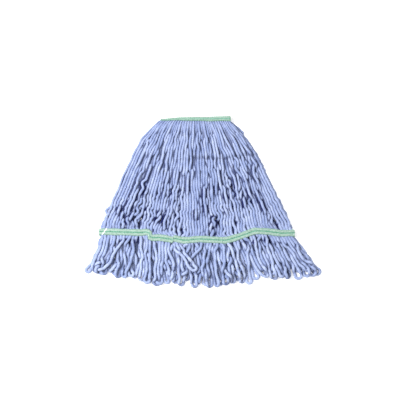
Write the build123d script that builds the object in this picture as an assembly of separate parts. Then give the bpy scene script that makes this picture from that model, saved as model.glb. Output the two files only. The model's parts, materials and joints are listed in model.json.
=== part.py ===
from build123d import *
import math
import os

# Looped-end wet mop head, laid flat: +X across its width, +Y towards the headband, +Z up.
# The origin is the middle of the head's footprint, on the surface that it lies on.
# The yarn is folded double at the headband, so a back half lies under a front half.
# All sizes are in millimetres.

# ---- driving dimensions ----
overall_length = 420.0
overall_width = 562.0
bundle_count = 10  # side-by-side yarn bundles in each half, six legs of yarn in each
bundle_gap = 0.3
section_corner = 2.2

head_left = -108.0  # ends of the headband
head_right = 62.0
tail_left = -252.0  # edges of the yarn at the tail band
tail_right = 213.0
tail_y = -71.0
left_power = 0.73  # below 1, the yarn spreads faster near the headband
right_power = 0.85

outer_tape_width = 40.0
outer_tape = 1.0
inner_tape = 0.7
banded_yarn = 5.6  # yarn squeezed between the two headband tapes
channel_height = 5.0  # the space inside the fold, for a handle's bar

tail_tape_width = 16.0
face_tape = 1.0
backing_tape = 0.7
tail_yarn = 4.8
layer_gap = 0.5

thread_width = 1.2
thread_height = 0.4
groove_width = 2.2
groove_depth = 0.45
stitch_length = 5.0
stitch_pitch = 7.5

fringe_top = -105.0  # below this line the yarn hangs free in loops
fringe_clearance = 0.3

# ---- sizes that follow from them ----
channel_radius = channel_height / 2
inner_radius = channel_radius + inner_tape
yarn_radius = inner_radius + banded_yarn
fold_radius = yarn_radius + outer_tape
head_height = 2 * fold_radius
fold_y = overall_length / 2 - fold_radius
fold_z = fold_radius
fold_gap = 0.15

outer_flap = outer_tape_width / 2 - math.pi / 2 * (fold_radius - outer_tape / 2)
inner_flap = outer_tape_width / 2 - math.pi / 2 * (channel_radius + inner_tape / 2)
outer_flap_end = fold_y - outer_flap
inner_flap_end = fold_y - inner_flap
seam_y = (outer_flap_end + fold_y - fold_gap) / 2

back_yarn_low = face_tape
back_yarn_high = back_yarn_low + tail_yarn
back_top = back_yarn_high + backing_tape
front_low = back_top + layer_gap
front_yarn_low = front_low + backing_tape
front_yarn_high = front_yarn_low + tail_yarn
front_top = front_yarn_high + face_tape

# Each section of a bundle: its place along Y, its underside and its top.
back_sections = [
    (fold_y - fold_gap, outer_tape, outer_tape + banded_yarn),
    (outer_flap_end - 0.2, outer_tape, outer_tape + banded_yarn),
    (inner_flap_end - 0.3, 0.0, outer_tape + banded_yarn),
    (60.0, 0.0, 7.4),
    (-54.0, back_yarn_low, back_yarn_high),
    (fringe_top, back_yarn_low, back_yarn_high),
]
front_sections = [
    (fold_y - fold_gap, fold_z + inner_radius, fold_z + yarn_radius),
    (outer_flap_end - 0.2, fold_z + inner_radius, fold_z + yarn_radius),
    (inner_flap_end - 0.3, fold_z + inner_radius, head_height),
    (140.0, 8.6, 19.2),
    (60.0, 8.0, 16.5),
    (-54.0, front_yarn_low, front_yarn_high),
    (fringe_top, front_yarn_low, front_yarn_high),
]

# How far each bundle's loops reach, left to right.
outer_tip = -176.0
long_tip = -overall_length / 2
front_tips = [outer_tip, -186.0, -202.0, -204.0, long_tip, -207.0, -199.0, -190.0, -191.0, outer_tip]
back_tips = [-171.0, -181.0, -194.0, -200.0, -203.0, -201.0, -194.0, -186.0, -184.0, -172.0]
tip_depth = 15.0  # height of the rounded end of a bundle of loops

# The tail bands wander across the yarn, because they are sewn to it while it is bunched.
front_band_line = [
    (tail_left, -73.0), (-138.0, -76.0), (-126.0, -86.0), (-77.0, -91.0), (-46.0, -94.5), (-14.0, -91.0),
    (50.0, -94.5), (82.0, -85.0), (118.0, -71.5), (151.0, -73.0), (180.0, -77.5), (tail_right, -76.5),
]
back_band_line = [
    (tail_left, -74.5), (-140.0, -77.5), (-122.0, -87.5), (-60.0, -92.5),
    (-10.0, -91.5), (50.0, -93.0), (82.0, -84.5), (116.0, -73.5), (tail_right, -77.0),
]


def save(node, solids):
    """Write one sub-part: a single solid, or a group of separate solids."""
    solids = list(solids)
    shape = solids[0] if len(solids) == 1 else Compound(children=solids)
    export_step(shape, f"parts/{node}.step")


# ---- yarn ----
def spread(share, y):
    """How far this share of the fan has opened at y, from 0 at the headband to 1 at the tail band."""
    power = left_power + share * (right_power - left_power)
    along = max(0.0, (fold_y - y) / (fold_y - tail_y))
    return along**power if along < 1 else 1 + power * (along - 1)


def edge(share, y):
    """X of the line that lies at this share of the fan's width, at y."""
    head = head_left + share * (head_right - head_left)
    tail = tail_left + share * (tail_right - tail_left)
    return head + spread(share, y) * (tail - head)


def yarn_bundle(index, sections):
    """One bundle of six legs of yarn, from the fold to below the tail band."""
    faces = []
    for y, low, high in sections:
        left = edge(index / bundle_count, y) + bundle_gap / 2
        right = edge((index + 1) / bundle_count, y) - bundle_gap / 2
        plane = Plane(
            origin=((left + right) / 2, y, (low + high) / 2), x_dir=(1, 0, 0), z_dir=(0, -1, 0)
        )
        faces.append(plane * RectangleRounded(right - left, high - low, section_corner))
    return loft(faces, ruled=True)


def fringe_edge(share, y):
    """X of the line between two bundles of loops, which splay out to the full width."""
    top = edge(share, fringe_top)
    splayed = (share - 0.5) * overall_width
    return top + (splayed - top) * (fringe_top - y) / (fringe_top - outer_tip - tip_depth)


def fringe_bundle(index, tip, low, high):
    """The looped ends of one bundle: a tongue that widens to a rounded end."""
    top = fringe_top - fringe_clearance
    shoulder = tip + tip_depth
    inset = 0.0 if index == 0 else bundle_gap / 2
    outset = 0.0 if index == bundle_count - 1 else bundle_gap / 2
    near_left = (fringe_edge(index / bundle_count, top) + inset, top)
    near_right = (fringe_edge((index + 1) / bundle_count, top) - outset, top)
    far_left = (fringe_edge(index / bundle_count, shoulder) + inset, shoulder)
    far_right = (fringe_edge((index + 1) / bundle_count, shoulder) - outset, shoulder)
    sides = Polyline(far_left, near_left, near_right, far_right)
    end = ThreePointArc(far_right, ((far_left[0] + far_right[0]) / 2, tip), far_left)
    return extrude(Plane.XY.offset(low) * make_face([*sides.edges(), end]), amount=high - low)


def folded_yarn(index):
    """The same six legs where they turn over inside the headband."""
    left = edge(index / bundle_count, fold_y) + bundle_gap / 2
    right = edge((index + 1) / bundle_count, fold_y) - bundle_gap / 2
    return half_ring(inner_radius, yarn_radius, left, right)


# ---- headband ----
def half_ring(inner, outer, left, right):
    """Half a ring about the fold's own line, open towards -Y, from left to right."""
    ring = Circle(outer) - Circle(inner)
    kept = Pos(fold_gap + outer / 2, 0) * Rectangle(outer, 2 * outer)
    plane = Plane(origin=(left, fold_y, fold_z), x_dir=(0, 1, 0), z_dir=(1, 0, 0))
    return extrude(plane * (ring & kept), amount=right - left)


def flap(end, low, high):
    """The flat of a headband tape, from the fold down to its edge."""
    length = fold_y - fold_gap - end
    middle = ((head_left + head_right) / 2, end + length / 2, (low + high) / 2)
    return Pos(*middle) * Box(head_right - head_left, length, high - low)


def sewn_flap(low, high, seam_side):
    """An outer flap with the shallow groove that its row of stitches pulls into it."""
    tape = flap(outer_flap_end, low, high)
    face = high if seam_side > 0 else low
    middle = ((head_left + head_right) / 2, seam_y, face - seam_side * groove_depth / 2)
    return tape - Pos(*middle) * Box(head_right - head_left, groove_width, groove_depth)


def seam_row(face, seam_side):
    """Stitches in the groove of an outer flap."""
    floor = face - seam_side * groove_depth
    z = floor + seam_side * thread_height / 2
    return [Pos(x, seam_y, z) * Box(stitch_length, thread_width, thread_height) for x in stitch_places()]


def fold_row(angle):
    """Stitches across the rounded fold, on the line at this angle above the fold's middle."""
    reach = fold_radius + thread_height / 2
    y = fold_y + reach * math.cos(math.radians(angle))
    z = fold_z + reach * math.sin(math.radians(angle))
    stitch = Rot(X=angle) * Box(stitch_length, thread_height, thread_width)
    return [Pos(x, y, z) * stitch for x in stitch_places()]


def stitch_places():
    """X of each stitch along the headband, the row centred on it."""
    count = int((head_right - head_left) / stitch_pitch)
    start = (head_left + head_right - (count - 1) * stitch_pitch) / 2
    return [start + n * stitch_pitch for n in range(count)]


# ---- tail bands ----
def band_face(line, width):
    """The outline of a tape of this width laid along a line of points."""
    left, right = [], []
    for n, (x, y) in enumerate(line):
        before = line[max(n - 1, 0)]
        after = line[min(n + 1, len(line) - 1)]
        along = Vector(after[0] - before[0], after[1] - before[1]).normalized()
        if n in (0, len(line) - 1):
            along = Vector(1, 0)
        side = Vector(-along.Y, along.X) * (width / 2)
        left.append((x + side.X, y + side.Y))
        right.append((x - side.X, y - side.Y))
    return make_face(Polyline(*left, *reversed(right), close=True))


def tail_tape(line, low, high):
    return extrude(Plane.XY.offset(low) * band_face(line, tail_tape_width), amount=high - low)


def face_tail_tape(line, low, high, seam_side):
    """The outer tape of a tail band, with a groove along its middle."""
    floor = high - groove_depth if seam_side > 0 else low
    groove = extrude(Plane.XY.offset(floor) * band_face(line, groove_width), amount=groove_depth)
    return tail_tape(line, low, high) - groove


def tail_stitches(line, face, seam_side):
    """Stitches that follow the groove, one after another along the line."""
    floor = face - seam_side * groove_depth
    z = floor + seam_side * thread_height / 2
    stitches = []
    for start, end in zip(line, line[1:]):
        run = Vector(end[0] - start[0], end[1] - start[1])
        count = max(1, int(run.length / stitch_pitch))
        turn = math.degrees(math.atan2(run.Y, run.X))
        for n in range(count):
            share = (n + 0.5) / count
            place = Pos(start[0] + share * run.X, start[1] + share * run.Y, z)
            stitches.append(place * Rot(Z=turn) * Box(stitch_length, thread_width, thread_height))
    return stitches


# ---- build ----
def build_yarn():
    for n in range(bundle_count):
        save(f"back_yarn_bundle_{n + 1:02d}", [yarn_bundle(n, back_sections)])
        save(f"front_yarn_bundle_{n + 1:02d}", [yarn_bundle(n, front_sections)])
        save(f"back_fringe_bundle_{n + 1:02d}", [fringe_bundle(n, back_tips[n], 0.0, back_top)])
        front = fringe_bundle(n, front_tips[n], front_low, front_top)
        save(f"front_fringe_bundle_{n + 1:02d}", [front])
    save("headband_folded_yarn", [folded_yarn(n) for n in range(bundle_count)])


def build_headband():
    save("headband_outer_tape_fold", [half_ring(yarn_radius, fold_radius, head_left, head_right)])
    save("headband_inner_tape_fold", [half_ring(channel_radius, inner_radius, head_left, head_right)])
    save("headband_outer_tape_back", [sewn_flap(0.0, outer_tape, -1)])
    save("headband_outer_tape_front", [sewn_flap(head_height - outer_tape, head_height, 1)])
    back_inner = fold_z - inner_radius
    front_inner = fold_z + channel_radius
    save("headband_inner_tape_back", [flap(inner_flap_end, back_inner, back_inner + inner_tape)])
    save("headband_inner_tape_front", [flap(inner_flap_end, front_inner, front_inner + inner_tape)])
    save("headband_stitching_back", seam_row(0.0, -1))
    save("headband_stitching_front", seam_row(head_height, 1))
    save("headband_stitching_fold", fold_row(-40) + fold_row(40))


def build_tail_bands():
    save("back_tail_tape_face", [face_tail_tape(back_band_line, 0.0, face_tape, -1)])
    save("back_tail_tape_backing", [tail_tape(back_band_line, back_yarn_high, back_top)])
    save("back_tail_stitching", tail_stitches(back_band_line, 0.0, -1))
    save("front_tail_tape_face", [face_tail_tape(front_band_line, front_yarn_high, front_top, 1)])
    save("front_tail_tape_backing", [tail_tape(front_band_line, front_low, front_yarn_low)])
    save("front_tail_stitching", tail_stitches(front_band_line, front_top, 1))


os.makedirs("parts", exist_ok=True)
build_yarn()
build_headband()
build_tail_bands()
print(f"fold axis y {fold_y:.2f} z {fold_z:.2f}, head height {head_height:.2f}")
print(f"channel z {fold_z - channel_radius:.2f} to {fold_z + channel_radius:.2f}, from y {inner_flap_end:.2f}")
print(f"fringe from y {fringe_top:.1f}, front z {front_low:.2f} to {front_top:.2f}, back top {back_top:.2f}")
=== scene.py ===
"""A looped-end string mop head lying flat: every leg of yarn, both tail bands and the headband."""

import json
import math

import bpy
import numpy as np
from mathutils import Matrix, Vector


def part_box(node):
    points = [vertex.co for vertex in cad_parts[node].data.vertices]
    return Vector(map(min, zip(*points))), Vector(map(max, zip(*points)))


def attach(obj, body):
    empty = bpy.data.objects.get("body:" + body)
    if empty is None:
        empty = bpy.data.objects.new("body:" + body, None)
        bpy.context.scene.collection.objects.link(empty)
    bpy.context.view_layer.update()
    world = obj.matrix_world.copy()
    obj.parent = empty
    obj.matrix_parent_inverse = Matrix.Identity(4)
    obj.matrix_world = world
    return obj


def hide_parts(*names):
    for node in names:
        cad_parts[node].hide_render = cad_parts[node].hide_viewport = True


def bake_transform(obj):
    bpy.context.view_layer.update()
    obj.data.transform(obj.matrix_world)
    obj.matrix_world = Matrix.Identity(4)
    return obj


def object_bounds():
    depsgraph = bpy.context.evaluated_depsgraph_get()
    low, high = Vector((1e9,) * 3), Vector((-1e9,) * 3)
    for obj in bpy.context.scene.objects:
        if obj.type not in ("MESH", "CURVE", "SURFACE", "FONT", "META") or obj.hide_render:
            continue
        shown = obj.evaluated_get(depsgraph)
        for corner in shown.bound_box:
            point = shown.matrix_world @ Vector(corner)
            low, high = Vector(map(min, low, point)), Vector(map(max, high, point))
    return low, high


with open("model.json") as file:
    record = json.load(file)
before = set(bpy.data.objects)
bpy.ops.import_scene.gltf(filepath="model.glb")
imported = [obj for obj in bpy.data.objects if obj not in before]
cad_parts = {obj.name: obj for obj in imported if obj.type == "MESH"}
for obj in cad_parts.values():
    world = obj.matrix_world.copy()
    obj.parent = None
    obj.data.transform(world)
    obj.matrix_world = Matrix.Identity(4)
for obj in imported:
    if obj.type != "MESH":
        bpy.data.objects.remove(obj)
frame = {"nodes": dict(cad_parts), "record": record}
cad_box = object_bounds()

# ---- sizes of the real thing, in metres ----
YARN = 0.0065  # diameter of the loose four-ply yarn
BUNDLES = 10
LEGS = 60  # in each half
LOOPS = LEGS // 2
BANDED = 0.54  # how thin the yarn is squeezed inside the headband
CLAMPED = 0.84  # how flat it is squeezed under a tail band
WIDENED = 1.40  # and how much wider it is there
FANNED = 0.07  # how much thicker it is where the legs have fanned out
LOOP_SWELL = 1.18  # how much thicker it is in the loops, where it is fluffed out
PUFF_LENGTH = 0.050  # below the headband, the yarn swells to its full size over this length
TWIST_PITCH = 0.020
PLIES = 4
LAYER = 0.00105  # the yarn in the headband lies this far to each side of its middle
TAIL_TAPE = 0.016  # width of a tail band
TAIL_LENGTH = 0.48  # and its length, along its bends and pleats
THREAD_PITCH = 0.0011  # of the tapes' weave
STITCH_PITCH = 0.0053
STITCH_LENGTH = 0.0042
STITCH_RADIUS = 0.00045

# ---- how the yarn lies ----
LEFT_POWER = 0.73  # below 1, the fan spreads faster near the headband
RIGHT_POWER = 0.85
CLUMPING = 0.0060  # how far legs drift sideways with their neighbours
LEG_WAVE = 0.0019  # sideways waves of the legs
LOOP_WAVE = 0.0020  # sideways waves of the loops
LOOP_RIPPLE = 0.0014  # and the ones up and down
FRINGE_LINE = -0.105  # the loops bend from here down
PILE_TOP = 0.0255  # no yarn stands higher than this

# ---- how finely it is made ----
LEG_STEPS = 58  # points along a leg while it settles
LOOP_STEPS = 44  # and round a loop
FINE = 3  # rings of a tube for each of those steps
SIDES = 12  # of a tube
SETTLE_ROUNDS = 90
SINK = 0.00010  # how far loose yarn drops in a round
KEPT_MOVE = (0.45, 0.45, 0.86)  # share of its last move that it keeps
BEND = 0.93  # points two steps apart stay at least this share of the way apart
SEED = 24

CAMERA_TARGET = Vector((-0.012, 0.005, 0.0))
CAMERA_ELEVATION = math.radians(80)
CAMERA_DISTANCE = 2.4

random = np.random.default_rng(SEED)


# ---- places that the frame gives ----
def box(node):
    """The lowest and the highest corner of a CAD node."""
    low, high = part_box(node)
    return np.array(low), np.array(high)


def band_line(node):
    """Places in X along a tail band, and Y of its middle at each, read from the edges of its CAD tape."""
    mesh = frame["nodes"][node].data
    points = np.array([v.co for v in mesh.vertices])
    ends = np.array([e.vertices for e in mesh.edges])
    a, b = points[ends[:, 0]], points[ends[:, 1]]
    low, high = box(node)

    def middle(x):
        x = min(max(x, low[0] + 0.001), high[0] - 0.001)
        crossing = (a[:, 0] - x) * (b[:, 0] - x) < 0
        share = (x - a[crossing, 0]) / (b[crossing, 0] - a[crossing, 0])
        y = a[crossing, 1] + share * (b[crossing, 1] - a[crossing, 1])
        return (y.min() + y.max()) / 2

    places = np.linspace(low[0], high[0], 160)
    return places, np.array([middle(x) for x in places])


outer_low, outer_high = box("headband_outer_tape_fold")
HEAD_LEFT, HEAD_RIGHT = outer_low[0], outer_high[0]
HEAD_HEIGHT = outer_high[2]
FOLD_Y = frame["record"]["behaviour"]["joints"][0]["pos_m"][1]
FOLD_Z = HEAD_HEIGHT / 2
FOLD_RADIUS = FOLD_Z
TAPE_THICK = box("headband_outer_tape_back")[1][2]
OUTER_FLAP_END = box("headband_outer_tape_front")[0][1]
INNER_LOW, INNER_HIGH = box("headband_inner_tape_front")
INNER_FLAP_END = INNER_LOW[1]
INNER_TAPE = INNER_HIGH[2] - INNER_LOW[2]
CHANNEL_RADIUS = INNER_LOW[2] - FOLD_Z
YARN_RADIUS = FOLD_RADIUS - TAPE_THICK
CORE_RADIUS = (CHANNEL_RADIUS + INNER_TAPE + YARN_RADIUS) / 2

BAND = {"front": band_line("front_tail_tape_face"), "back": band_line("back_tail_tape_face")}
TAIL_LEFT, TAIL_RIGHT = (corner[0] for corner in box("front_tail_tape_face"))
LEVELS = {}  # Z of the yarn in each tail band
for side in ("front", "back"):
    face, backing = box(f"{side}_tail_tape_face"), box(f"{side}_tail_tape_backing")
    inner = (backing[1][2], face[0][2]) if side == "front" else (face[1][2], backing[0][2])
    LEVELS[side] = sum(inner) / 2


# ---- camera, lights and floor ----
def add_camera():
    """A long lens that looks down on the head from a little in front of its loops."""
    data = bpy.data.cameras.new("camera")
    data.lens = 90
    data.sensor_width = 36
    camera = bpy.data.objects.new("camera", data)
    bpy.context.scene.collection.objects.link(camera)
    towards_camera = Vector((0, -math.cos(CAMERA_ELEVATION), math.sin(CAMERA_ELEVATION)))
    camera.location = CAMERA_TARGET + CAMERA_DISTANCE * towards_camera
    camera.rotation_euler = (CAMERA_TARGET - camera.location).to_track_quat("-Z", "Y").to_euler()
    bpy.context.scene.camera = camera


def add_light(name, place, size, power):
    """A round soft light that faces the middle of the object."""
    data = bpy.data.lights.new(name, "AREA")
    data.shape = "DISK"
    data.size = size
    data.energy = power
    light = bpy.data.objects.new(name, data)
    light.location = place
    light.rotation_euler = (-Vector(place)).to_track_quat("-Z", "Y").to_euler()
    bpy.context.scene.collection.objects.link(light)


def add_studio():
    """White surroundings, a soft key light from the left and a pale floor."""
    world = bpy.data.worlds.new("studio")
    world.use_nodes = True
    world.node_tree.nodes["Background"].inputs[0].default_value = (1, 1, 1, 1)
    world.node_tree.nodes["Background"].inputs[1].default_value = 0.80
    bpy.context.scene.world = world
    add_light("key", (-1.3, 0.15, 1.95), 1.0, 76)
    bpy.context.scene.view_settings.view_transform = "Standard"

    corners = np.array([(-6, -6, 0), (6, -6, 0), (6, 6, 0), (-6, 6, 0)], float)
    floor = quad_mesh("floor", corners, np.array([[0, 1, 2, 3]]))
    floor.data.materials.append(floor_material())


# ---- meshes ----
def quad_mesh(name, points, quads, caps=()):
    """A smooth mesh from arrays of points and four-sided faces, with caps that have more corners."""
    mesh = bpy.data.meshes.new(name)
    mesh.vertices.add(len(points))
    mesh.vertices.foreach_set("co", points.astype(np.float32).ravel())
    counts = np.concatenate([np.full(len(quads), 4), [len(c) for c in caps]]).astype(np.int32)
    corners = np.concatenate([quads.ravel(), *[np.array(c) for c in caps]]).astype(np.int32)
    mesh.loops.add(len(corners))
    mesh.loops.foreach_set("vertex_index", corners)
    mesh.polygons.add(len(counts))
    mesh.polygons.foreach_set("loop_start", np.concatenate([[0], np.cumsum(counts)[:-1]]).astype(np.int32))
    mesh.polygons.foreach_set("loop_total", counts)
    mesh.polygons.foreach_set("use_smooth", [True] * len(counts))
    mesh.update(calc_edges=True)
    mesh.validate()
    thing = bpy.data.objects.new(name, mesh)
    bpy.context.scene.collection.objects.link(thing)
    return thing


def set_attribute(thing, name, values):
    """Give each point of a mesh a number that its material reads."""
    attribute = thing.data.attributes.new(name, "FLOAT", "POINT")
    attribute.data.foreach_set("value", np.asarray(values, np.float32))


def smooth_step(low, high, value):
    """0 below low and 1 above high, with an even curve between them. Low may also be the larger."""
    t = np.clip((value - low) / (high - low), 0, 1)
    return t * t * (3 - 2 * t)


def turned_frames(lines):
    """Two directions across each line, carried along it without needless turning."""
    ahead = np.gradient(lines, axis=1)
    ahead /= np.linalg.norm(ahead, axis=2, keepdims=True)
    across = np.empty_like(lines)
    start = np.cross(ahead[:, 0], (0, 0, 1))
    across[:, 0] = start / np.linalg.norm(start, axis=1, keepdims=True)
    for n in range(1, lines.shape[1]):
        kept = across[:, n - 1] - (across[:, n - 1] * ahead[:, n]).sum(1)[:, None] * ahead[:, n]
        across[:, n] = kept / np.linalg.norm(kept, axis=1, keepdims=True)
    return across, np.cross(ahead, across)


def smoothed(lines, fine):
    """Catmull-Rom points, with this many steps between each two of the line's own."""
    before, after = 2 * lines[:, :1] - lines[:, 1:2], 2 * lines[:, -1:] - lines[:, -2:-1]
    padded = np.concatenate([before, lines, after], axis=1)
    a, b, c, d = padded[:, :-3], padded[:, 1:-2], padded[:, 2:-1], padded[:, 3:]
    stretches = []
    for n in range(fine):
        t = n / fine
        bend, twist = 2 * a - 5 * b + 4 * c - d, 3 * b - a - 3 * c + d
        stretches.append(0.5 * (2 * b + (c - a) * t + bend * t**2 + twist * t**3))
    inner = np.stack(stretches, axis=2).reshape(len(lines), -1, 3)
    return np.concatenate([inner, lines[:, -1:]], axis=1)


def yarn_tubes(name, lines, radii, tones, held=None):
    """Four-ply yarn along each line: a lobed tube that turns as the plies do.

    lines is (strands, rings, 3), and radii and held are (strands, rings). Where held is 1, the yarn is
    squeezed wider and no thicker."""
    strands, rings, _ = lines.shape
    across, up = turned_frames(lines)
    steps = np.linalg.norm(np.diff(lines, axis=1), axis=2)
    along = np.concatenate([np.zeros((strands, 1)), np.cumsum(steps, axis=1)], axis=1)
    turn = 2 * np.pi * along / TWIST_PITCH + 7.0 * tones[:, None]
    round_it = np.arange(SIDES) * 2 * np.pi / SIDES
    lobe = np.abs(np.cos(round_it * PLIES / 2))
    profile = 0.87 + 0.15 * lobe
    angle = turn[:, :, None] + round_it
    reach = radii[:, :, None] * profile
    offset = (reach * np.cos(angle))[..., None] * across[:, :, None]
    offset = offset + (reach * np.sin(angle))[..., None] * up[:, :, None]
    if held is not None:
        offset[..., :2] *= (1 + (WIDENED - 1) * held)[:, :, None, None]
    points = (lines[:, :, None] + offset).reshape(-1, 3)
    ring = np.arange(SIDES)
    after = (ring + 1) % SIDES
    first = (np.arange(strands)[:, None] * rings + np.arange(rings - 1)).ravel()[:, None] * SIDES
    quads = np.stack([first + ring, first + after, first + SIDES + after, first + SIDES + ring], axis=2)
    caps = []
    for n in range(strands):
        start, end = n * rings * SIDES, (n * rings + rings - 1) * SIDES
        caps += [[start + k for k in reversed(range(SIDES))], [end + k for k in range(SIDES)]]
    thing = quad_mesh(name, points, quads.reshape(-1, 4), caps)
    set_attribute(thing, "tone", np.repeat(tones, rings * SIDES))
    set_attribute(thing, "ply", np.tile(lobe, strands * rings))
    return thing


# ---- the yarn's first lie, before it settles ----
def wander(count, waves, size):
    """Smooth random offsets: one value for each of count places, varying over about waves of them."""
    knots = random.normal(0, 1, int(count / waves) + 4)
    at = np.linspace(0, len(knots) - 1.001, count)
    low = at.astype(int)
    share = at - low
    share = share * share * (3 - 2 * share)
    return size * np.clip(knots[low] * (1 - share) + knots[low + 1] * share, -3, 3)


def neighbourly():
    """What each leg shares with its neighbours, so that they gather, part and wave together.

    drift is how far it strays sideways at six places down its length. phase and rise start its waves
    sideways and upwards, and long is the length of those."""
    from_edge = np.minimum(np.arange(LEGS), np.arange(LEGS)[::-1])
    drift = np.stack([wander(LEGS, 2.6, 1.0) for _ in range(6)])
    drift *= np.minimum(1, from_edge / 3.5)
    phase = np.cumsum(random.normal(0, 0.7, LEGS))
    rise = np.cumsum(random.normal(0, 1.1, LEGS))
    long = np.maximum(0.036 + wander(LEGS, 6, 0.006), 0.024)
    return [{"drift": drift[:, n], "phase": phase[n], "rise": rise[n], "long": long[n]} for n in range(LEGS)]


def leg_share(n):
    """How far across the head a leg is, from 0 at the left to 1 at the right."""
    return (n + 0.5) / LEGS


def leg_route(side, n, lie):
    """One leg from the fold to the middle of the tail band, with its waves and kinks.

    lie holds what it shares with its neighbours."""
    share = leg_share(n)
    u = np.linspace(0, 1, LEG_STEPS)
    head_x, tail_x = head_place(n), TAIL_LEFT + 0.003 + share * (TAIL_RIGHT - TAIL_LEFT - 0.006)
    tail_y = np.interp(tail_x, *BAND[side])
    x = head_x + u ** (LEFT_POWER + share * (RIGHT_POWER - LEFT_POWER)) * (tail_x - head_x)
    y = FOLD_Y + u * (tail_y - FOLD_Y)
    up = 1 if side == "front" else -1
    head_z = FOLD_Z + up * core_radius(n)
    layer = random.normal(0, 0.0022)
    middle = 0.0125 if side == "front" else 0.0045
    z = np.interp(u, [0, 0.06, 0.25, 0.6, 1], [head_z, head_z, middle + layer, middle - layer, LEVELS[side]])

    # It waves more the slacker it is, and is slackest above the tail band.
    free = smooth_step(0.07, 0.3, u) * (1 - smooth_step(0.93, 0.985, u))
    slack = (0.12 + 1.1 * smooth_step(0.42, 0.82, u)) * free
    size = LEG_WAVE * random.uniform(0.6, 1.4)
    run = (FOLD_Y - y) * 2 * np.pi
    x = x + size * slack * np.sin(run / lie["long"] + lie["phase"])
    z = z + 0.8 * size * slack * np.sin(run / lie["long"] + lie["rise"])
    x = x + 0.2 * size * slack * np.sin(run / random.uniform(0.017, 0.024) + random.uniform(0, 6))
    drift = np.interp(u, np.linspace(0, 1, len(lie["drift"])), lie["drift"])
    x = x + CLUMPING * free * (0.35 + 0.65 * u) * drift

    # Kinks, where the yarn was bent in the packet.
    for _ in range(random.poisson(1.5)):
        place, width = random.uniform(0.48, 0.92), random.uniform(0.008, 0.018)
        near = np.exp(-(((u - place) / width) ** 2)) * free
        x = x + near * random.normal(0, 0.0030)
        z = z + near * random.uniform(0, 0.0035)

    # At the right, some back legs show past the front ones, which are drawn in below the headband.
    at_right = smooth_step(0.82, 1.0, share)
    if side == "front":
        x = creased(parted(x, y, share), y, share)
        x = x - 0.009 * at_right * np.exp(-(((y - 0.176) / 0.016) ** 2))
    else:
        x = x + 0.008 * at_right**2 * np.exp(-(((y - 0.180) / 0.011) ** 2))
        for bump in (0.170, 0.116):
            x = x + 0.0055 * at_right**2 * np.exp(-(((y - bump) / 0.006) ** 2))
    return np.stack([x, y, z], axis=1)


# Where the front legs part: share of the width, Y of the middle, half the length, and the width.
PARTINGS = [
    (0.73, 0.052, 0.052, 0.0125),
    (0.52, 0.054, 0.016, 0.0060),
    (0.10, 0.105, 0.045, 0.0060),
    (0.30, 0.110, 0.022, 0.0045),
    (0.60, 0.085, 0.018, 0.0060),
    (0.20, -0.044, 0.012, 0.0190),
    (0.34, -0.020, 0.018, 0.0050),
    (0.45, 0.010, 0.016, 0.0055),
    (0.62, -0.045, 0.013, 0.0080),
    (0.84, -0.010, 0.020, 0.0065),
    (0.93, -0.050, 0.020, 0.0120),
]


def parted(x, y, share):
    """Move a leg away from each parting that it lies beside."""
    for place, middle, half, wide in PARTINGS:
        away = math.copysign(math.exp(-abs(share - place) / 0.06), share - place)
        x = x + 0.5 * wide * away * np.exp(-(((y - middle) / half) ** 2) * 1.5)
    return x


def creased(x, y, share):
    """Make a leg jog aside on the crease across the head, from its packet, that starts left of the middle."""
    strength = smooth_step(0.30, 0.42, share) * random.uniform(0.6, 1.2)
    shift = 0.0036 * np.exp(-(((y - crease_line(share)) / 0.005) ** 2)) * random.choice([-1, 1, 1])
    return x + strength * shift


def crease_line(share):
    """Y of the crease."""
    return 0.099 + 0.014 * share + 0.003 * np.sin(share * 15)


def ledge(chains, shares):
    """How far the legs stand up along the crease: a slow rise from above, then a sudden end."""
    line = crease_line(shares)[:, None]
    y = chains[..., 1]
    rise = smooth_step(0, 0.026, line + 0.028 - y) * smooth_step(-0.0035, 0.0025, y - line)
    return 0.0048 * rise * smooth_step(0.30, 0.42, shares)[:, None]


def head_place(n):
    """X of a leg in the headband."""
    return HEAD_LEFT + 0.0025 + leg_share(n) * (HEAD_RIGHT - HEAD_LEFT - 0.005)


def sagged(x, y):
    """Y once the headband's fold has sagged, more and more from its right end to its left one."""
    across = np.clip((HEAD_RIGHT - x) / (HEAD_RIGHT - HEAD_LEFT), 0, 1)
    drop = 0.0042 * across + 0.0028 * smooth_step(0.72, 1.0, across)
    return y - drop * smooth_step(OUTER_FLAP_END + 0.0007, FOLD_Y + 0.008, y)


def core_radius(n):
    """How far from the middle of the fold a leg lies: in one of two layers between the tapes."""
    return CORE_RADIUS + LAYER * (-1) ** n


def resampled(points, count):
    """The same line with this many points, evenly spaced."""
    steps = np.linalg.norm(np.diff(points, axis=0), axis=1)
    along = np.concatenate([[0], np.cumsum(steps)])
    at = np.linspace(0, along[-1], count)
    return np.stack([np.interp(at, along, points[:, k]) for k in range(3)], axis=1)


def fringe_end(side, share):
    """X and Y where a loop at this share of the width ends if it lies straight."""
    lows = [box(f"{side}_fringe_bundle_{n + 1:02d}")[0][1] for n in range(BUNDLES)]
    y = np.interp(share * BUNDLES - 0.5, np.arange(BUNDLES), lows)
    left, right = cad_box[0][0] + 0.009, cad_box[1][0] - 0.007
    return left + share * (right - left), y


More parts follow.
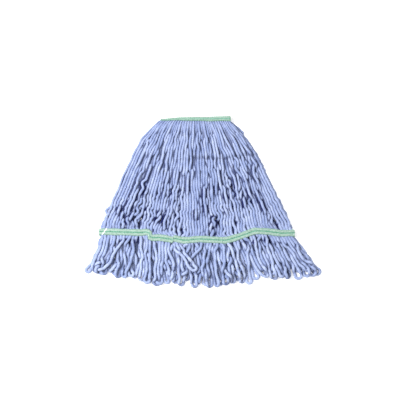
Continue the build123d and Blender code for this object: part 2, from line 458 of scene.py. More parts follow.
def loop_route(side, start, end, share, lean, flop):
    """One loop below the tail band: down from one leg, round a tight turn, and back up to the other.

    lean turns it sideways, and a flopped one is shorter and lies over its neighbours."""
    tip_x, tip_y = fringe_end(side, share)
    middle = (start + end) / 2 + (0, -0.010, 0)
    length = 1.02 * math.hypot(tip_x - middle[0], tip_y - middle[1]) - random.exponential(0.0025)
    length += 0.010 * smooth_step(0.86, 1.0, share) + 0.004 * smooth_step(0.2, 0.0, share)
    if flop:
        length *= 0.78
    heading = math.atan2(tip_x - middle[0], middle[1] - tip_y) + lean
    down = np.array([math.sin(heading), -math.cos(heading), 0])
    aside = np.array([math.cos(heading), math.sin(heading), 0])
    bulb = random.uniform(0.0038, 0.0050)
    at = np.linspace(0, 1, 12)
    open_to = (end[0] - start[0]) / 2 * (1 - at) ** 2 + bulb * smooth_step(0.1, 1, at)
    curl = random.normal(0, 0.009) * at**2 + random.normal(0, 0.004) * np.sin(np.pi * at)
    lift = (0.012 if flop else 0.003) * np.sin(np.pi * at) * random.uniform(0.3, 1)
    spine = middle + (at * (length - bulb - YARN / 2))[:, None] * down + curl[:, None] * aside
    spine[:, 2] += lift
    left = spine - open_to[:, None] * aside
    right = spine + open_to[:, None] * aside
    turn = np.linspace(0, np.pi, 9)[1:-1, None]
    cap = spine[-1] - open_to[-1] * np.cos(turn) * aside + open_to[-1] * np.sin(turn) * down
    route = resampled(np.concatenate([[start], left, cap, right[::-1], [end]]), LOOP_STEPS + 1)
    u = np.linspace(0, 1, LOOP_STEPS + 1)
    free = smooth_step(0.05, 0.2, u) * (1 - smooth_step(0.8, 0.95, u))
    for long, weight in ((random.uniform(0.032, 0.050), 0.9), (random.uniform(0.015, 0.022), 0.15)):
        phase = random.uniform(0, 2 * np.pi, 2)
        run = u * 0.22 / long * 2 * np.pi
        route = route + (weight * LOOP_WAVE * free * np.sin(run + phase[0]))[:, None] * aside
        route[:, 2] += weight * LOOP_RIPPLE * free * np.sin(run + phase[1])
    return route


def loop_pairs():
    """Which two legs each loop joins: mostly neighbours, and some with up to three legs between them."""
    legs, pairs = list(range(LEGS)), []
    while legs:
        first = legs.pop(0)
        skip = int(random.choice([0, 0, 0, 1, 1, 2, 3]))
        pairs.append((first, legs.pop(min(skip, len(legs) - 1))))
    return pairs


def first_lie(side, pairs):
    """Whole chains, each down one leg, round its loop and up the other leg."""
    lies = neighbourly()
    legs = [leg_route(side, n, lies[n]) for n in range(LEGS)]
    leans = wander(LOOPS, 3, 0.05 if side == "front" else 0.02)
    chains = []
    for k, (a, b) in enumerate(pairs):
        share = (leg_share(a) + leg_share(b)) / 2
        flop = random.random() < (0.13 if side == "front" else 0.03)
        lean = leans[k] + random.normal(0, 0.035)
        if flop:
            lean += random.choice([-1, 1]) * random.uniform(0.3, 0.6)
        lean *= min(1, (3 if flop else 6) * min(share, 1 - share))
        if side == "front" and not flop:
            lean += 0.09 * math.copysign(math.exp(-abs(share - 0.92) / 0.04), share - 0.92)
        loop = loop_route(side, legs[a][-1], legs[b][-1], share, lean, flop)
        chains.append(np.concatenate([legs[a][:-1], loop, legs[b][::-1][1:]]))
    return np.array(chains)


# ---- letting the yarn settle ----
def close_pairs(points, chain, place, reach):
    """Pairs of points within reach of each other, leaving out near neighbours on one yarn.

    chain and place say which yarn each point is on, and where."""
    cell = np.floor((points - points.min(0)) / reach).astype(np.int64) + 1
    size = cell.max(0) + 2
    key = (cell[:, 0] * size[1] + cell[:, 1]) * size[2] + cell[:, 2]
    order = np.argsort(key, kind="stable")
    ordered = key[order]
    firsts, seconds = [], []
    for dx in (-1, 0, 1):
        for dy in (-1, 0, 1):
            low = np.searchsorted(ordered, key + (dx * size[1] + dy) * size[2] - 1, "left")
            high = np.searchsorted(ordered, key + (dx * size[1] + dy) * size[2] + 1, "right")
            counts = high - low
            first = np.repeat(np.arange(len(points)), counts)
            inside = np.arange(counts.sum()) - np.repeat(np.cumsum(counts) - counts, counts)
            second = order[np.repeat(low, counts) + inside]
            keep = first < second
            firsts.append(first[keep])
            seconds.append(second[keep])
    first, second = np.concatenate(firsts), np.concatenate(seconds)
    near = ((points[first] - points[second]) ** 2).sum(1) < reach**2
    own = (chain[first] == chain[second]) & (np.abs(place[first] - place[second]) < 4)
    keep = near & ~own
    return first[keep], second[keep]


def push_apart(points, pairs, radii, front):
    """Move overlapping points apart, rather upwards than sideways, so that yarn piles up.

    Where the halves meet, the front one (front is 1) always goes up, so that it can be lifted off."""
    first, second = pairs
    between = points[first] - points[second]
    far = np.sqrt((between**2).sum(1)) + 1e-9
    over = np.maximum(radii[first] + radii[second] - far, 0)
    between = between * (0.6, 0.6, 1.0)
    above = front[first] - front[second]
    level = 0.8 * (radii[first] + radii[second])
    between[:, 2] = np.where(above == 0, between[:, 2], above * np.maximum(above * between[:, 2], level))
    length = np.sqrt((between**2).sum(1)) + 1e-9
    push = between * (0.34 * over / length)[:, None]
    for k in range(3):
        points[:, k] += np.bincount(first, push[:, k], len(points))
        points[:, k] -= np.bincount(second, push[:, k], len(points))


def keep_lengths(chains, rest):
    """Bring each step of the yarn back to its own length."""
    for start in (0, 1):
        a, b = chains[:, start:-1:2], chains[:, start + 1 :: 2]
        long = rest[:, start::2, None]
        between = b - a
        far = np.sqrt((between**2).sum(2, keepdims=True)) + 1e-9
        move = 0.5 * (1 - long / far) * between
        a += move
        b -= move


def keep_stiff(chains, rest):
    """Yarn resists a sharp bend: points two steps apart stay nearly two steps apart."""
    a, b = chains[:, :-2], chains[:, 2:]
    least = BEND * (rest[:, :-1] + rest[:, 1:])[..., None]
    between = b - a
    far = np.sqrt((between**2).sum(2, keepdims=True)) + 1e-9
    move = 0.30 * np.maximum(least / far - 1, 0) * between
    chains[:, 2:] += move
    chains[:, :-2] -= move


def limits(chains, radii, front):
    """Lowest and highest Z of each point: the floor, and the tapes where they hold the yarn."""
    inner = CHANNEL_RADIUS + INNER_TAPE
    opened = smooth_step(0, 0.045, INNER_FLAP_END - 0.001 - chains[..., 1])
    in_outer = chains[..., 1] > OUTER_FLAP_END - 0.001
    ground = np.where(front, (1 - opened) * (FOLD_Z + inner) + radii, radii)
    ground = np.where(in_outer & ~front, TAPE_THICK + radii, ground)
    roof = np.where(front, PILE_TOP, FOLD_Z - inner + 0.017 * opened) - radii
    roof = np.where(in_outer & front, FOLD_Z + YARN_RADIUS - radii, roof)
    return ground, roof


def settle(chains, radii, pinned, fronts):
    """Drop the yarn under its own weight on to the floor and on to itself.

    Pinned points stay where they are, and fronts tells the front half's chains."""
    rest = np.linalg.norm(np.diff(chains, axis=1), axis=2)
    held = chains.copy()
    before = chains.copy()
    count, length, _ = chains.shape
    chain = np.repeat(np.arange(count), length)
    place = np.tile(np.arange(length), count)
    flat = radii.ravel()
    front = np.repeat(fronts, length).reshape(count, length)
    above = front.ravel().astype(int)
    for round_number in range(SETTLE_ROUNDS):
        moved = (chains - before) * KEPT_MOVE
        before = chains.copy()
        chains += moved
        chains[..., 2] -= SINK
        if round_number % 6 == 0:
            pairs = close_pairs(chains.reshape(-1, 3), chain, place, 1.3 * YARN)
        for _ in range(2):
            keep_stiff(chains, rest)
            push_apart(chains.reshape(-1, 3), pairs, flat, above)
            keep_lengths(chains, rest)
            ground, roof = limits(chains, radii, front)
            chains[..., 2] = np.maximum(np.minimum(chains[..., 2], roof), ground)
            chains[pinned] = held[pinned]
    return chains


def from_band(chains):
    """How many steps each point of a chain is from the tail band that holds it at both ends of its loop."""
    steps = np.arange(chains.shape[1])
    return np.minimum(abs(steps - LEG_STEPS + 1), abs(steps - (chains.shape[1] - LEG_STEPS)))


def yarn_radius(chains):
    """Thinner in the headband and under a tail band, and thicker where the legs fan out and in the loops."""
    y = chains[..., 1]
    swell = BANDED + (1 - BANDED) * smooth_step(0, PUFF_LENGTH, OUTER_FLAP_END - y)
    clamp = CLAMPED + (1 - CLAMPED) * smooth_step(1, 5, from_band(chains))
    below = smooth_step(0.004, 0.030, FRINGE_LINE - y)
    fanned = FANNED * smooth_step(0.10, -0.05, y) * (1 - below)
    return YARN / 2 * swell * clamp * (1 + fanned + (LOOP_SWELL - 1) * below)


def band_hold(chains, stretch):
    """For each ring of a tube over this stretch: 1 where a tail band squeezes it, and 0 a little way off."""
    steps = (1 - smooth_step(1, 6, from_band(chains)))[stretch]
    return np.interp(np.arange((len(steps) - 1) * FINE + 1) / FINE, np.arange(len(steps)), steps)


def all_yarn():
    """Settled centrelines and radii of both halves, as {side: (chains, radii)}."""
    found = {side: first_lie(side, loop_pairs_of[side]) for side in ("back", "front")}
    chains = np.concatenate([found["back"], found["front"]])
    radii = yarn_radius(chains)
    steps = chains.shape[1]
    pinned = np.zeros(chains.shape[:2], bool)
    pinned[:, :3] = pinned[:, -3:] = True
    for band in (LEG_STEPS - 1, steps - LEG_STEPS):
        pinned[:, band - 1 : band + 2] = True
    fronts = np.repeat([False, True], LOOPS)
    chains = settle(chains, radii, pinned, fronts)
    shares = np.array([(leg_share(a) + leg_share(b)) / 2 for a, b in loop_pairs_of["front"]])
    chains[LOOPS:, :, 2] += ledge(chains[LOOPS:], shares)
    chains[..., 1] = sagged(chains[..., 0], chains[..., 1])
    return {"back": (chains[:LOOPS], radii[:LOOPS]), "front": (chains[LOOPS:], radii[LOOPS:])}


# ---- materials ----
def material(name, roughness, sheen=0.0):
    """A matte material, with its node tree and its shader."""
    made = bpy.data.materials.new(name)
    made.use_nodes = True
    shader = made.node_tree.nodes["Principled BSDF"]
    shader.inputs["Roughness"].default_value = roughness
    shader.inputs["Specular IOR Level"].default_value = 0.1
    shader.inputs["Sheen Weight"].default_value = sheen
    shader.inputs["Sheen Roughness"].default_value = 0.5
    return made, made.node_tree, shader


def node(tree, kind, **inputs):
    """A new node with these constant inputs."""
    made = tree.nodes.new(kind)
    for key, value in inputs.items():
        made.inputs[key.replace("_", " ")].default_value = value
    return made


def ramp(tree, source, stops):
    """Colours that follow a value, from stops of a place and a colour."""
    made = tree.nodes.new("ShaderNodeValToRGB")
    while len(made.color_ramp.elements) < len(stops):
        made.color_ramp.elements.new(0.5)
    for element, (place, colour) in zip(made.color_ramp.elements, stops):
        element.position = place
        element.color = (*colour, 1)
    tree.links.new(source, made.inputs["Fac"])
    return made.outputs["Color"]


def feed(tree, value, socket):
    """Link another node's output to a socket, or set its constant number or colour."""
    if isinstance(value, bpy.types.NodeSocket):
        tree.links.new(value, socket)
    else:
        socket.default_value = value if isinstance(value, float) else (*value, 1)


def mixed(tree, blend, share, a, b):
    made = tree.nodes.new("ShaderNodeMix")
    made.data_type = "RGBA"
    made.blend_type = blend
    for value, place in ((share, 0), (a, 6), (b, 7)):
        feed(tree, value, made.inputs[place])
    return made.outputs[2]


def maths(tree, operation, *values):
    made = tree.nodes.new("ShaderNodeMath")
    made.operation = operation
    for value, socket in zip(values, made.inputs):
        feed(tree, value, socket)
    return made.outputs[0]


def attribute(tree, name):
    made = tree.nodes.new("ShaderNodeAttribute")
    made.attribute_name = name
    return made.outputs["Fac"]


def noise(tree, scale, detail=3.0):
    made = node(tree, "ShaderNodeTexNoise", Scale=scale, Detail=detail)
    tree.links.new(tree.nodes.new("ShaderNodeTexCoord").outputs["Object"], made.inputs["Vector"])
    return made.outputs["Fac"]


def bumped(tree, shader, height, strength, distance):
    made = node(tree, "ShaderNodeBump", Strength=strength, Distance=distance)
    tree.links.new(height, made.inputs["Height"])
    tree.links.new(made.outputs["Normal"], shader.inputs["Normal"])


def yarn_material():
    """Matte dyed yarn. Painted shade darkens it between its plies, down in the pile and in the gaps between
    front legs, and painted light makes the top of the pile paler and its loose loops palest.
    """
    made, tree, shader = material("mop_yarn", 0.95, 0.10)
    tone = ramp(tree, attribute(tree, "tone"), [(0.0, (0.262, 0.322, 0.535)), (1.0, (0.375, 0.435, 0.645))])
    patches = ramp(tree, noise(tree, 60.0), [(0.35, (0.76, 0.79, 0.87)), (0.65, (1.02, 1.02, 1.02))])
    fibres = ramp(tree, noise(tree, 900.0, 2.0), [(0.30, (0.56, 0.58, 0.68)), (0.64, (1.17, 1.16, 1.10))])
    # painted shade in the grooves between the plies
    groove_shade = ramp(tree, attribute(tree, "ply"), [(0.0, (0.62, 0.63, 0.72)), (0.5, (1.0, 1.0, 1.0))])
    # painted shade deep in the pile and in gaps, and painted light on the top of the pile and on the loose
    # loops
    stops = [(0.0, (1.17, 1.16, 1.10)), (SURFACE, (1.03, 1.03, 1.01)), (1.0, (0.02, 0.025, 0.14))]
    pile_shade_colours = ramp(tree, attribute(tree, "pile_shade"), stops)
    colour = tone
    for share, layer in ((1.0, patches), (1.0, fibres), (0.8, groove_shade), (1.0, pile_shade_colours)):
        colour = mixed(tree, "MULTIPLY", share, colour, layer)
    tree.links.new(colour, shader.inputs["Base Color"])
    bumped(tree, shader, noise(tree, 900.0, 2.0), 0.6, 0.0006)
    return made


def woven_material(name, pale, green, dark):
    """Woven tape: two pale ribs with a dark line between them and greener edges, crossed by threads."""
    made, tree, shader = material(name, 0.85, 0.25)
    wobbly_across = maths(tree, "MULTIPLY_ADD", noise(tree, 260.0), 0.12, attribute(tree, "across"))
    stops = [(0.08, green), (0.17, pale), (0.42, pale), (0.50, dark)]
    stops += [(0.62, dark), (0.69, pale), (0.94, pale), (1.0, green)]
    ribs = ramp(tree, wobbly_across, stops)
    wave = maths(tree, "SINE", maths(tree, "MULTIPLY", attribute(tree, "along"), 2 * math.pi / THREAD_PITCH))
    threads = maths(tree, "MULTIPLY_ADD", wave, 0.5, 0.5)
    shade = ramp(tree, threads, [(0.0, (0.80, 0.84, 0.80)), (1.0, (1.0, 1.0, 1.0))])
    worn = ramp(tree, noise(tree, 330.0), [(0.34, (0.62, 0.74, 0.68)), (0.62, (1.06, 1.06, 1.06))])
    turned = ramp(tree, attribute(tree, "turned"), [(0.0, (1.0, 1.0, 1.0)), (1.0, (0.42, 0.66, 0.52))])
    frayed = ramp(tree, attribute(tree, "frayed"), [(0.1, (0.0, 0.0, 0.0)), (0.7, (1.0, 1.0, 1.0))])
    colour = ribs
    for layer in (shade, worn, turned):
        colour = mixed(tree, "MULTIPLY", 1.0, colour, layer)
    colour = mixed(tree, "MIX", frayed, colour, (0.86, 0.88, 0.88))
    tree.links.new(colour, shader.inputs["Base Color"])
    bumped(tree, shader, threads, 0.5, 0.0003)
    return made


def thread_material():
    made, tree, shader = material("sewing_thread", 0.6, 0.2)
    colour = ramp(tree, noise(tree, 2500.0), [(0.3, (0.03, 0.16, 0.09)), (0.7, (0.07, 0.30, 0.17))])
    tree.links.new(colour, shader.inputs["Base Color"])
    bumped(tree, shader, noise(tree, 2500.0), 0.4, 0.0002)
    return made


def floor_material():
    made, tree, shader = material("floor", 0.8)
    colour = ramp(tree, noise(tree, 3.0), [(0.0, (0.93, 0.93, 0.93)), (1.0, (0.96, 0.96, 0.96))])
    tree.links.new(colour, shader.inputs["Base Color"])
    shader.inputs["Emission Color"].default_value = (1, 1, 1, 1)
    shader.inputs["Emission Strength"].default_value = 0.35
    return made


# ---- painted shade: how deep in the pile each point lies ----
CELL = 0.001
EMPTY = -1.0  # height where there is no yarn
SPREAD = 5  # cells that the tops are spread sideways
GAP_REACH = 8  # cells: a gap gets painted shade if there is yarn this near on each side
SURFACE = 0.10  # level of painted shade on the pile's surface, which is painted slightly lighter: the loose loops have less and are painted lighter still


def height_map(side, up):
    """The top of one half's yarn over each small square of the floor, or with up = -1 its underside.

    Also gives the same map with the tops spread sideways, and one that bridges the gaps between legs
    but ends at the outline of the pile."""
    lines, radii = thick_lines(yarn[side][0], yarn[side][1])
    margin = 0.02
    origin = np.array(cad_box[0][:2]) - margin
    size = np.ceil((np.array(cad_box[1][:2]) - origin + margin) / CELL).astype(int)
    heights = np.full(size, EMPTY)
    points, reach = lines.reshape(-1, 3), radii.ravel()
    cell = ((points[:, :2] - origin) / CELL).astype(int)
    for dx in range(-3, 4):
        for dy in range(-3, 4):
            aside = CELL * math.hypot(dx, dy)
            inside = reach > aside
            at = np.clip(cell[inside] + (dx, dy), 0, size - 1)
            top = up * points[inside, 2] + np.sqrt(reach[inside] ** 2 - aside**2)
            np.maximum.at(heights, (at[:, 0], at[:, 1]), top)
    wide = heights.copy()
    for _ in range(SPREAD):
        edged = np.pad(wide, 1, constant_values=EMPTY)
        shifts = [edged[i : i + size[0], j : j + size[1]] for i in range(3) for j in range(3)]
        wide = np.maximum(wide, np.max(shifts, axis=0) - 0.0003)
    left, right = heights.copy(), heights.copy()
    for _ in range(GAP_REACH):
        left[1:] = np.maximum(left[1:], left[:-1] - 0.0001)
        right[:-1] = np.maximum(right[:-1], right[1:] - 0.0001)
    return heights, wide, np.minimum(left, right), origin


def over_points(maps, points):
    """The three heights of a map over each point."""
    *layers, origin = maps
    cell = np.clip(((points[:, :2] - origin) / CELL).astype(int), 0, np.array(layers[0].shape) - 1)
    return [layer[cell[:, 0], cell[:, 1]] for layer in layers]


def painted_pile_shade(piece, side):
    """Painted shade for each point: from SURFACE on top of the pile to 1 well down inside it or in a gap
    between front legs.

    The loose loops below the tail band start from 0."""
    points = np.empty(len(piece.data.vertices) * 3, np.float32)
    piece.data.vertices.foreach_get("co", points)
    points = points.reshape(-1, 3)
    above = over_points(TOPS[side], points)[1] - points[:, 2]
    below = over_points(BOTTOMS[side], points)[1] + points[:, 2]
    pile_shade = smooth_step(0.0017, 0.0049, np.minimum(above, below))
    if side == "back":
        cover, _, bridged = over_points(TOPS["front"], points)
        # painted shade on back legs seen through gaps between the front legs
        gap_shade = np.where(cover < 0, smooth_step(0.0010, 0.0042, bridged - points[:, 2]), 0)
        pile_shade = np.maximum(pile_shade, gap_shade)
    loose = smooth_step(-0.010, 0.012, FRINGE_LINE - points[:, 1])
    packed_tight = smooth_step(0.02, 0.14, points[:, 1])
    pile_shade = pile_shade * (1 - 0.55 * loose) * (1 - 0.42 * packed_tight)
    return np.maximum(SURFACE * (1 - loose), pile_shade)


# ---- tapes and threads ----
def shell(name, points, normals, thick, across, along):
    """A strip of cloth from a grid of points on its outer face, closed all round.

    across, from 0 to 1, and along, in metres, place the weave on it."""
    rows, columns, _ = points.shape
    both = np.concatenate([points.reshape(-1, 3), (points - thick * normals).reshape(-1, 3)])
    index = np.arange(rows * columns).reshape(rows, columns)
    quads = np.stack([index[:-1, :-1], index[1:, :-1], index[1:, 1:], index[:-1, 1:]], axis=2).reshape(-1, 4)
    under = quads[:, ::-1] + rows * columns
    rim = np.concatenate([index[:, 0], index[-1, 1:], index[-2::-1, -1], index[0, -2:0:-1]])
    after = np.roll(rim, -1)
    edges = np.stack([after, rim, rim + rows * columns, after + rows * columns], axis=1)
    thing = quad_mesh(name, both, np.concatenate([quads, under, edges]))
    set_attribute(thing, "across", np.tile(np.broadcast_to(across, (rows, columns)).ravel(), 2))
    set_attribute(thing, "along", np.tile(np.broadcast_to(along, (rows, columns)).ravel(), 2))
    return thing


def ripple(x, y):
    """Gentle unevenness of sewn cloth, between -1 and 1."""
    return 0.5 * np.sin(x * 190 + 3 * np.sin(y * 260)) + 0.5 * np.sin(x * 83 + 1.3)


def headband_tape(name, radius, thick, flap_end, part, grooved):
    """One stretch of a headband tape: its back flap, its rounded fold or its front flap."""
    flap = FOLD_Y - flap_end
    round_fold = math.pi * radius
    whole = 2 * flap + round_fold
    stretches = {"back": (0, flap), "fold": (flap, flap + round_fold), "front": (flap + round_fold, whole)}
    place = np.linspace(*stretches[part], 40 if part == "fold" else 30)
    x = np.linspace(HEAD_LEFT, HEAD_RIGHT, 170)
    angle = np.clip((place - flap) / radius, 0, math.pi) - math.pi / 2
    on_flap = np.where(place < flap, flap - place, np.maximum(place - flap - round_fold, 0))
    normal = np.stack([0 * angle, np.cos(angle), np.sin(angle)], axis=1)
    spine_y, spine_z = FOLD_Y + radius * np.cos(angle) - on_flap, FOLD_Z + radius * np.sin(angle)
    spine = np.stack([0 * angle, spine_y, spine_z], axis=1)
    points = np.repeat(spine[None], len(x), axis=0)
    points[..., 0] = x[:, None]
    normals = np.repeat(normal[None], len(x), axis=0)
    lift = 0.0003 * ripple(x[:, None], place[None]) * smooth_step(0, 0.003, on_flap)
    if grooved:
        lift = lift - 0.0005 * np.exp(-(((on_flap - flap / 2) / 0.0008) ** 2))
        lift = lift + 0.00022 * np.cos(place / whole * 2 * math.pi * 9)
    points += lift[..., None] * normals
    edge = smooth_step(0.5 * flap, flap, on_flap)
    points[..., 1] -= 0.0007 * ripple(x[:, None] * 0.6, 0.0) * edge
    if grooved:
        points[..., 1] += 0.0020 * edge * (HEAD_RIGHT - x[:, None]) / (HEAD_RIGHT - HEAD_LEFT)
    points[..., 1] = sagged(points[..., 0], points[..., 1])
    thing = shell(name, points, normals, thick, (place / whole * 3) % 1.0, x[:, None])
    ends = smooth_step(0.0035, 0.0015, HEAD_RIGHT - x) if grooved else 0 * x
    set_attribute(thing, "turned", np.tile(np.repeat(ends, len(place)), 2))
    return thing


# Where the front tail band doubles over itself, and how far it steps up there going right.
PLEATS = ((-0.131, -0.0070), (-0.076, 0.0046), (0.041, 0.0))
TAPE_POINTS = 460  # along a tail band


def band_route(side, count):
    """Points along the middle of a tail band, with the direction across it."""
    places, middles = BAND[side]
    route = resampled(np.stack([places, middles, 0 * places], axis=1), count)
    for _ in range(16 * count // TAPE_POINTS + 2):
        route[1:-1] = (route[:-2] + 2 * route[1:-1] + route[2:]) / 4
    ahead = np.gradient(route, axis=0)
    ahead /= np.linalg.norm(ahead, axis=1, keepdims=True)
    if side == "front":
        for place, step in PLEATS:
            before = np.clip(1 + (route[:, 0] - place) / 0.020, 0, 1) * (route[:, 0] < place)
            after = np.clip(1 - (route[:, 0] - place) / 0.020, 0, 1) * (route[:, 0] >= place)
            route[:, 1] += step / 2 * (after - before)
    return route, np.stack([-ahead[:, 1], ahead[:, 0], 0 * ahead[:, 0]], axis=1)


def tail_tape(name, side, kind):
    """A tail band's tape: it bulges over the yarn on each side of its seam."""
    route, sideways = band_route(side, TAPE_POINTS)
    low, high = box(f"{side}_tail_tape_{kind}")
    up = 1 if (side == "front") == (kind == "face") else -1
    across = np.linspace(0, 1, 25)
    width = TAIL_TAPE * (1 + 0.06 * ripple(1.4 * route[:, 0], 0.01))[:, None]
    points = route[:, None] + (width * (across - 0.5))[..., None] * sideways[:, None]
    x, along = points[..., 0], np.linspace(0, TAIL_LENGTH, len(route))[:, None]
    seam = np.exp(-(((across - 0.5) / 0.07) ** 2))
    rise = 0.0010 * np.sin(np.pi * np.clip(np.abs(across - 0.5) * 2, 0, 1)) ** 0.8 - 0.0004 * seam
    rise = rise - 0.0010 * smooth_step(0.42, 0.5, np.abs(across - 0.5))
    rise = rise + 0.0003 * ripple(x * 1.7, across * 0.02)
    if kind == "face" and side == "front":
        for pleat, _ in PLEATS:
            past = x - pleat
            rise = rise + 0.0014 * smooth_step(-0.0035, 0.0, past) * (1 - smooth_step(0.0, 0.0008, past))
    if kind == "backing":
        rise = rise * 0.15
    points[..., 2] = (high[2] + rise) if up > 0 else (low[2] - rise)
    if side == "back":
        points[..., 2] = np.maximum(points[..., 2], 0.0004)
    normals = np.zeros_like(points)
    normals[..., 2] = up
    thing = shell(name, points, normals, high[2] - low[2], across, along)
    if side == "front" and kind == "face":
        slit = np.exp(-(((x - x[0] - 0.0075 - 0.011 * across) / 0.0013) ** 2))
        set_attribute(thing, "frayed", np.tile(slit.ravel(), 2))
    if up < 0:
        thing.data.flip_normals()
    return thing


def stitch_row(name, middles, ahead, outward):
    """Separate stitches: each a short bowed tube whose ends go down into the cloth."""
    share = np.linspace(-1, 1, 9)
    lines = middles[:, None] + share[:, None] * ahead[:, None] * STITCH_LENGTH / 2
    lines = lines + (0.0005 - 0.0013 * share**4)[:, None] * outward[:, None]
    radii = np.repeat(STITCH_RADIUS * (1 - 0.35 * share[None] ** 4), len(middles), axis=0)
    return yarn_tubes(name, lines, radii, np.linspace(0, 1, len(middles)))


def headband_stitches(name, part):
    """The seam down the middle of a flap, or the two over the fold."""
    x = np.arange(HEAD_LEFT + 0.004, HEAD_RIGHT - 0.003, STITCH_PITCH)
    seam = (OUTER_FLAP_END + FOLD_Y) / 2
    if part == "fold":
        angles = np.radians([-40, 40])
        rows = [(FOLD_Y + FOLD_RADIUS * np.cos(t), FOLD_Z + FOLD_RADIUS * np.sin(t), t) for t in angles]
    else:
        rows = [(seam, 0.0, -math.pi / 2) if part == "back" else (seam, HEAD_HEIGHT, math.pi / 2)]
    sink = 0.0 if part == "fold" else 0.0004
    middles, outward = [], []
    for y, z, t in rows:
        out = np.array([0, math.cos(t), math.sin(t)])
        middles += [np.array([place, y, z]) - sink * out for place in x]
        outward += [out] * len(x)
    middles, outward = np.array(middles), np.array(outward)
    middles[:, 1] = sagged(middles[:, 0], middles[:, 1])
    ahead = np.repeat([[1.0, 0.0, 0.0]], len(middles), axis=0)
    return stitch_row(name, middles, ahead, outward)


def tail_stitches(name, side):
    """The seam down the middle of a tail band's face."""
    route, sideways = band_route(side, 88)
    ahead = np.stack([sideways[:, 1], -sideways[:, 0], 0 * sideways[:, 0]], axis=1)
    up = 1 if side == "front" else -1
    face = box(f"{side}_tail_tape_face")
    middles = route[1:-1].copy()
    middles[:, 2] = face[1][2] - 0.0004 if up > 0 else face[0][2] + 0.0004
    outward = np.zeros_like(middles)
    outward[:, 2] = up
    return stitch_row(name, middles, ahead[1:-1], outward)


# ---- build ----
def dressed(piece, slot, *nodes):
    """Give a piece its material and the CAD nodes that it stands for."""
    piece.data.materials.append(looks[slot])
    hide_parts(*nodes)
    return piece


def thick_lines(lines, radii):
    """Smooth centrelines and radii for tubes, with FINE rings for each step."""
    fine = smoothed(np.concatenate([lines, np.repeat(radii[..., None], 3, 2)], axis=0), FINE)
    return fine[: len(lines)], fine[len(lines) :, :, 0]


def build_legs(side):
    """The legs between the headband and a tail band, in bundles as the CAD part has them."""
    chains, radii, tones = yarn[side]
    held = band_hold(chains, slice(LEG_STEPS))
    ends = {}
    for k, (a, b) in enumerate(loop_pairs_of[side]):
        ends[a] = (chains[k, :LEG_STEPS], radii[k, :LEG_STEPS], tones[k])
        ends[b] = (chains[k, ::-1][:LEG_STEPS], radii[k, ::-1][:LEG_STEPS], tones[k])
    each = LEGS // BUNDLES
    for n in range(BUNDLES):
        mine = [ends[leg] for leg in range(n * each, (n + 1) * each)]
        lines, thick = thick_lines(np.array([m[0] for m in mine]), np.array([m[1] for m in mine]))
        widths = np.broadcast_to(held, thick.shape)
        piece = yarn_tubes(f"{side}_legs_{n + 1:02d}", lines, thick, np.array([m[2] for m in mine]), widths)
        # painted shade of the pile at each point
        set_attribute(piece, "pile_shade", painted_pile_shade(piece, side))
        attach(dressed(piece, "yarn", f"{side}_yarn_bundle_{n + 1:02d}"), f"{side}_half")


def build_loops(side):
    """Each loop is a piece of its own."""
    chains, radii, tones = yarn[side]
    each = LOOPS // BUNDLES
    inner = slice(LEG_STEPS - 1, chains.shape[1] - LEG_STEPS + 1)
    held = band_hold(chains, inner)
    for k in range(LOOPS):
        lines, thick = thick_lines(chains[k : k + 1, inner], radii[k : k + 1, inner])
        piece = yarn_tubes(f"{side}_loop_{k + 1:02d}", lines, thick, tones[k : k + 1], held[None])
        # painted shade of the pile at each point
        set_attribute(piece, "pile_shade", painted_pile_shade(piece, side))
        dressed(piece, "yarn", f"{side}_fringe_bundle_{k // each + 1:02d}")
        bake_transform(piece)


def build_folded_yarn():
    """The turns of yarn over the passage, each from a back leg's first point to a front leg's."""
    angle = np.linspace(-np.pi / 2, np.pi / 2, 25)
    lines, radii = [], []
    for n in range(LEGS):
        reach = core_radius(n)
        x, y = np.full(len(angle), head_place(n)), FOLD_Y + reach * np.cos(angle)
        lines.append(np.stack([x, sagged(x, y), FOLD_Z + reach * np.sin(angle)], axis=1))
        radii.append(np.full(len(angle), YARN / 2 * BANDED))
    piece = yarn_tubes("folded_yarn", np.array(lines), np.array(radii), random.uniform(0, 1, LEGS))
    # the folded yarn gets the painted-shade level of the pile's surface
    set_attribute(piece, "pile_shade", np.full(len(piece.data.vertices), SURFACE))
    over_fold(dressed(piece, "yarn", "headband_folded_yarn"))


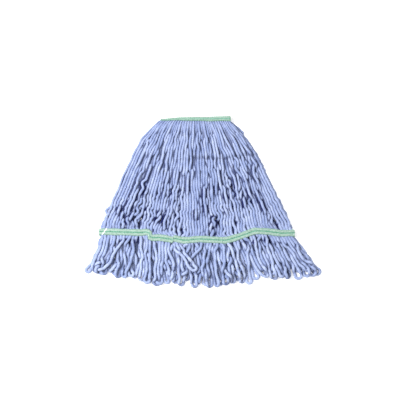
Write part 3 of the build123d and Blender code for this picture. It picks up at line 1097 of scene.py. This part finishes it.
def over_fold(piece):
    """A piece round the fold, which goes over from the back half at its underside to the front half at its
    top, is left where it is, on neither half.
    """
    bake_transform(piece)


def build_headband():
    """Both tapes of the headband, and their stitching. The outer flaps are too narrow to be sheets."""
    for layer, radius, thick, flap_end, slot in (
        ("outer", FOLD_RADIUS, TAPE_THICK, OUTER_FLAP_END, "tape"),
        ("inner", CHANNEL_RADIUS + INNER_TAPE, INNER_TAPE, INNER_FLAP_END, "backing_tape"),
    ):
        for part in ("back", "fold", "front"):
            piece = headband_tape(f"{layer}_band_{part}", radius, thick, flap_end, part, layer == "outer")
            dressed(piece, slot, f"headband_{layer}_tape_{part}")
            if part == "fold":
                over_fold(piece)
                continue
            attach(piece, f"{part}_half")
    for part in ("back", "fold", "front"):
        piece = headband_stitches(f"band_thread_{part}", part)
        dressed(piece, "thread", f"headband_stitching_{part}")
        if part == "fold":
            over_fold(piece)
        else:
            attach(piece, f"{part}_half")


def build_tail_bands():
    """Each tail band: a tape on each side of the yarn, sewn through."""
    for side in ("back", "front"):
        for kind, slot in (("face", "tape"), ("backing", "backing_tape")):
            piece = tail_tape(f"{side}_tail_{kind}", side, kind)
            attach(dressed(piece, slot, f"{side}_tail_tape_{kind}"), f"{side}_half")
        piece = tail_stitches(f"{side}_tail_thread", side)
        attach(dressed(piece, "thread", f"{side}_tail_stitching"), f"{side}_half")


loop_pairs_of = {side: loop_pairs() for side in ("back", "front")}

add_camera()
yarn = {side: (*settled, random.uniform(0, 1, LOOPS)) for side, settled in all_yarn().items()}
TOPS = {side: height_map(side, 1) for side in yarn}
BOTTOMS = {side: height_map(side, -1) for side in yarn}

mint = ((0.345, 0.45, 0.40), (0.21, 0.36, 0.285), (0.175, 0.375, 0.295))
backing_mint = ((0.33, 0.45, 0.40), (0.20, 0.35, 0.27), (0.15, 0.32, 0.24))
looks = {
    "yarn": yarn_material(),
    "tape": woven_material("mint_tape", *mint),
    "backing_tape": woven_material("backing_tape", *backing_mint),
    "thread": thread_material(),
}
add_studio()
for side in ("back", "front"):
    build_legs(side)
    build_loops(side)
build_folded_yarn()
build_headband()
build_tail_bands()
